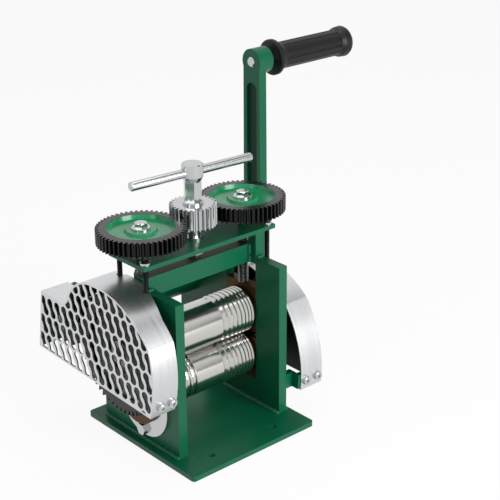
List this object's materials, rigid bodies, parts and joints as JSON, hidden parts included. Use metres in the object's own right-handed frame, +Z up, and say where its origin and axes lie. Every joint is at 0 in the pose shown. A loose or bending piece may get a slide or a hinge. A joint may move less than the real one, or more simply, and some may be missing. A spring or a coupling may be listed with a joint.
{
  "type": "jewellers rolling mill",
  "caption": "Hand-cranked bench mill with two polished grooved rolls in a welded green frame, geared screws and perforated gear covers.",
  "frame": {"origin": "underside of the base plate, below the middle of the rolls", "axes": "+X along the rolls towards the crank, +Y to the back, +Z up"},
  "size_m": [0.3733, 0.1955, 0.33],
  "materials": {
    "base_plate": "semi-gloss green enamel over steel",
    "left_side_plate": "semi-gloss green enamel over steel",
    "right_side_plate": "semi-gloss green enamel over steel",
    "foot_welds": "semi-gloss green enamel over steel",
    "top_plate": "semi-gloss green enamel over steel",
    "top_plate_prop": "semi-gloss green enamel over steel",
    "top_plate_studs": "semi-gloss green enamel over steel",
    "stud_lugs": "semi-gloss green enamel over steel",
    "cover_lugs": "semi-gloss green enamel over steel",
    "left_crank_bracket": "semi-gloss green enamel over steel",
    "right_crank_bracket": "semi-gloss green enamel over steel",
    "crank_bearing_tube": "semi-gloss green enamel over steel",
    "crank_arm": "semi-gloss green enamel over steel",
    "crossbeam": "green enamel on the sides, bare machined top",
    "stud_nuts": "bright zinc plate",
    "lower_roll": "hardened and polished steel",
    "upper_roll": "hardened and polished steel",
    "lift_springs": "bright spring wire",
    "lower_thrust_washers": "oiled bronze",
    "upper_thrust_washers": "oiled bronze",
    "upper_sleeves": "oiled bronze",
    "lower_left_block": "oiled bronze",
    "lower_right_block": "oiled bronze",
    "upper_left_block": "oiled bronze",
    "upper_right_block": "oiled bronze",
    "crank_bushes": "oiled bronze",
    "lower_thrust_collar": "oiled bronze",
    "lower_sync_gear": "black oxide, oiled",
    "upper_sync_gear": "black oxide, oiled",
    "drive_gear": "black oxide, oiled",
    "crank_pinion": "black oxide, oiled",
    "lower_roll_key": "plain steel, lightly oiled",
    "upper_roll_keys": "plain steel, lightly oiled",
    "lower_roll_bolts": "plain steel, lightly oiled",
    "upper_roll_bolts": "plain steel, lightly oiled",
    "retaining_plate_bolts": "plain steel, lightly oiled",
    "crank_shaft": "plain steel, lightly oiled",
    "crank_spacers": "plain steel, lightly oiled",
    "adjusting_shaft": "plain steel, lightly oiled",
    "adjusting_shaft_nut": "plain steel, lightly oiled",
    "handle_spindle": "plain steel, lightly oiled",
    "left_pressure_screw": "plain steel, lightly oiled",
    "right_pressure_screw": "plain steel, lightly oiled",
    "retaining_plate": "bright zinc plate",
    "centre_pinion": "bright zinc plate",
    "adjusting_shaft_washer": "bright zinc plate",
    "tommy_bar_hub": "bright zinc plate",
    "tommy_bar": "bright zinc plate",
    "left_screw_gear_bolt": "bright zinc plate",
    "right_screw_gear_bolt": "bright zinc plate",
    "cover_screws": "bright zinc plate",
    "left_screw_gear": "black oxide rim, green enamel in the web",
    "right_screw_gear": "black oxide rim, green enamel in the web",
    "right_cover_liner": "matt black sheet",
    "grip": "moulded black rubber",
    "left_cover_band": "bright rolled aluminium sheet",
    "left_cover_face": "bright rolled aluminium sheet",
    "right_cover_band": "bright rolled aluminium sheet",
    "right_cover_face": "bright rolled aluminium sheet"
  },
  "bodies": {
    "frame": {"base_plate": "base_plate", "left_side_plate": "left_side_plate", "right_side_plate": "right_side_plate", "foot_welds": "foot_welds", "crossbeam": "crossbeam", "top_plate": "top_plate", "top_plate_prop": "top_plate_prop", "top_plate_studs": "top_plate_studs", "stud_nuts": "stud_nuts", "stud_lugs": "stud_lugs", "lift_springs": "lift_springs", "lower_thrust_washers": "lower_thrust_washers", "retaining_plate": "retaining_plate", "retaining_plate_bolts": "retaining_plate_bolts", "adjusting_shaft_washer": "adjusting_shaft_washer", "crank_bearing_tube": "crank_bearing_tube", "crank_bushes": "crank_bushes", "cover_lugs": "cover_lugs", "cover_screws": "cover_screws", "lower_left_block": "lower_left_block", "lower_right_block": "lower_right_block", "left_crank_bracket": "left_crank_bracket", "right_crank_bracket": "right_crank_bracket", "left_cover_band": "left_cover_band", "left_cover_face": "left_cover_face", "right_cover_band": "right_cover_band", "right_cover_face": "right_cover_face", "right_cover_liner": "right_cover_liner"},
    "press_carriage": {"upper_left_block": "upper_left_block", "upper_right_block": "upper_right_block", "upper_thrust_washers": "upper_thrust_washers"},
    "upper_sleeves": {"upper_sleeves": "upper_sleeves"},
    "upper_roll": {"upper_roll": "upper_roll", "upper_sync_gear": "upper_sync_gear", "upper_roll_keys": "upper_roll_keys", "upper_roll_bolts": "upper_roll_bolts", "drive_gear": "drive_gear"},
    "lower_roll": {"lower_roll": "lower_roll", "lower_sync_gear": "lower_sync_gear", "lower_roll_key": "lower_roll_key", "lower_roll_bolts": "lower_roll_bolts", "lower_thrust_collar": "lower_thrust_collar"},
    "left_screw": {"left_pressure_screw": "left_pressure_screw", "left_screw_gear": "left_screw_gear", "left_screw_gear_bolt": "left_screw_gear_bolt"},
    "right_screw": {"right_pressure_screw": "right_pressure_screw", "right_screw_gear": "right_screw_gear", "right_screw_gear_bolt": "right_screw_gear_bolt"},
    "adjuster": {"centre_pinion": "centre_pinion", "adjusting_shaft": "adjusting_shaft", "adjusting_shaft_nut": "adjusting_shaft_nut", "tommy_bar_hub": "tommy_bar_hub", "tommy_bar": "tommy_bar"},
    "crank": {"crank_shaft": "crank_shaft", "crank_pinion": "crank_pinion", "crank_spacers": "crank_spacers", "crank_arm": "crank_arm", "handle_spindle": "handle_spindle"},
    "grip": {"grip": "grip"}
  },
  "joints": [
    {"name": "press_slide", "type": "slide", "parent": "frame", "child": "press_carriage", "axis": [0, 0, 1], "range_m": [-0.0004, 0.0035], "deforming": ["lift_springs"]},
    {"name": "sleeve_turn", "type": "hinge", "parent": "press_carriage", "child": "upper_sleeves", "pos_m": [0, 0, 0.0995], "axis": [1, 0, 0], "range_deg": [-3.6, 0.42]},
    {"name": "upper_roll_turn", "type": "hinge", "parent": "upper_sleeves", "child": "upper_roll", "pos_m": [0, 0, 0.0995], "axis": [1, 0, 0], "continuous": true},
    {"name": "lower_roll_turn", "type": "hinge", "parent": "frame", "child": "lower_roll", "pos_m": [0, 0, 0.054], "axis": [1, 0, 0], "continuous": true},
    {"name": "left_screw_turn", "type": "hinge", "parent": "press_carriage", "child": "left_screw", "pos_m": [-0.05925, 0, 0.127], "axis": [0, 0, 1], "range_deg": [-96.1, 840.1]},
    {"name": "right_screw_turn", "type": "hinge", "parent": "press_carriage", "child": "right_screw", "pos_m": [0.05925, 0, 0.127], "axis": [0, 0, 1], "range_deg": [-96.1, 840.1]},
    {"name": "adjuster_turn", "type": "hinge", "parent": "frame", "child": "adjuster", "pos_m": [0, 0, 0.2], "axis": [0, 0, 1], "range_deg": [-1617.9, 185]},
    {"name": "crank_turn", "type": "hinge", "parent": "frame", "child": "crank", "pos_m": [0, 0.078, 0.106], "axis": [1, 0, 0], "continuous": true},
    {"name": "grip_turn", "type": "hinge", "parent": "crank", "child": "grip", "pos_m": [0.2175, 0.078, 0.312], "axis": [1, 0, 0], "continuous": true}
  ],
  "couplings": [
    {"joint": "adjuster_turn", "follows": "press_slide", "rad_per_m": -8067.3},
    {"joint": "sleeve_turn", "follows": "press_slide", "rad_per_m": -17.857},
    {"joint": "left_screw_turn", "follows": "press_slide", "rad_per_m": 4188.8},
    {"joint": "right_screw_turn", "follows": "press_slide", "rad_per_m": 4188.8},
    {"joint": "upper_roll_turn", "follows": "crank_turn", "ratio": -0.39286},
    {"joint": "lower_roll_turn", "follows": "crank_turn", "ratio": 0.39286}
  ]
}
